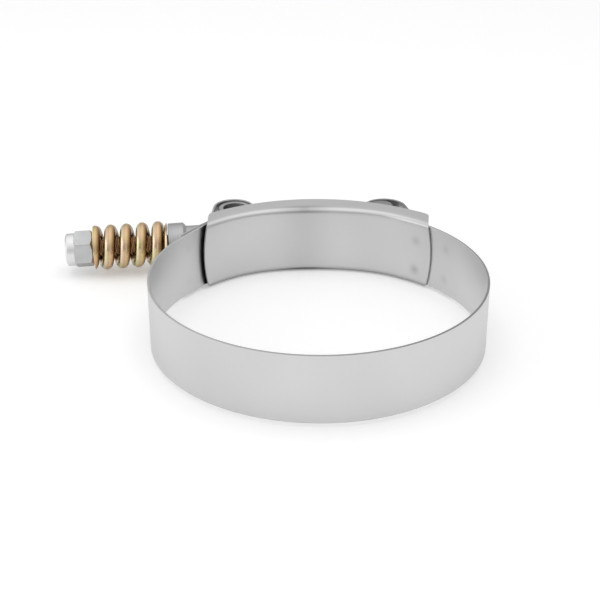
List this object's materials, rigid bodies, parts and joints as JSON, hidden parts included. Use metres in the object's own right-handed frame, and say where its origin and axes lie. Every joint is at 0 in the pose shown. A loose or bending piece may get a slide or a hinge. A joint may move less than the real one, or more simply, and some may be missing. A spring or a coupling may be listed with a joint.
{
  "type": "t bolt clamp",
  "caption": "Spring-loaded T bolt hose clamp: a wide band with folded loops, a floating bridge, a T bolt through a trunnion, a coil spring and a lock nut.",
  "frame": {"origin": "centre of the clamp's bounding box in plan, on the plane of the bridge's lower flange", "axes": "+Z along the hose's axis, +X from the nut's end towards the T head, +Y towards the bolt's side"},
  "size_m": [0.1224, 0.1026, 0.0205],
  "materials": {
    "band_steel": "satin stainless strip",
    "bridge_steel": "smooth stainless sheet",
    "turned_steel": "turned steel",
    "bolt_steel": "forged stainless steel",
    "zinc_plate": "zinc plated steel",
    "yellow_chromate": "yellow chromate over zinc",
    "nylon": "translucent nylon"
  },
  "bodies": {
    "clamp": {"band": "band_steel", "bridge": "bridge_steel", "trunnion": "turned_steel", "t_bolt": "bolt_steel", "spring_seat": "turned_steel"},
    "spring_end": {"spring": "yellow_chromate"},
    "nut": {"lock_nut": "zinc_plate", "nylon_insert": "nylon"}
  },
  "joints": [
    {"name": "nut_advance", "type": "slide", "parent": "clamp", "child": "spring_end", "axis": [0.9949, 0.093, 0.0393], "range_m": [0, 0.003], "deforming": ["spring"]},
    {"name": "nut_turn", "type": "hinge", "parent": "spring_end", "child": "nut", "pos_m": [-0.05671, 0.03693, 0.00757], "axis": [0.9949, 0.093, 0.0393], "range_deg": [0, 1080]}
  ],
  "couplings": [
    {"joint": "nut_turn", "follows": "nut_advance", "rad_per_m": 6283.2}
  ]
}
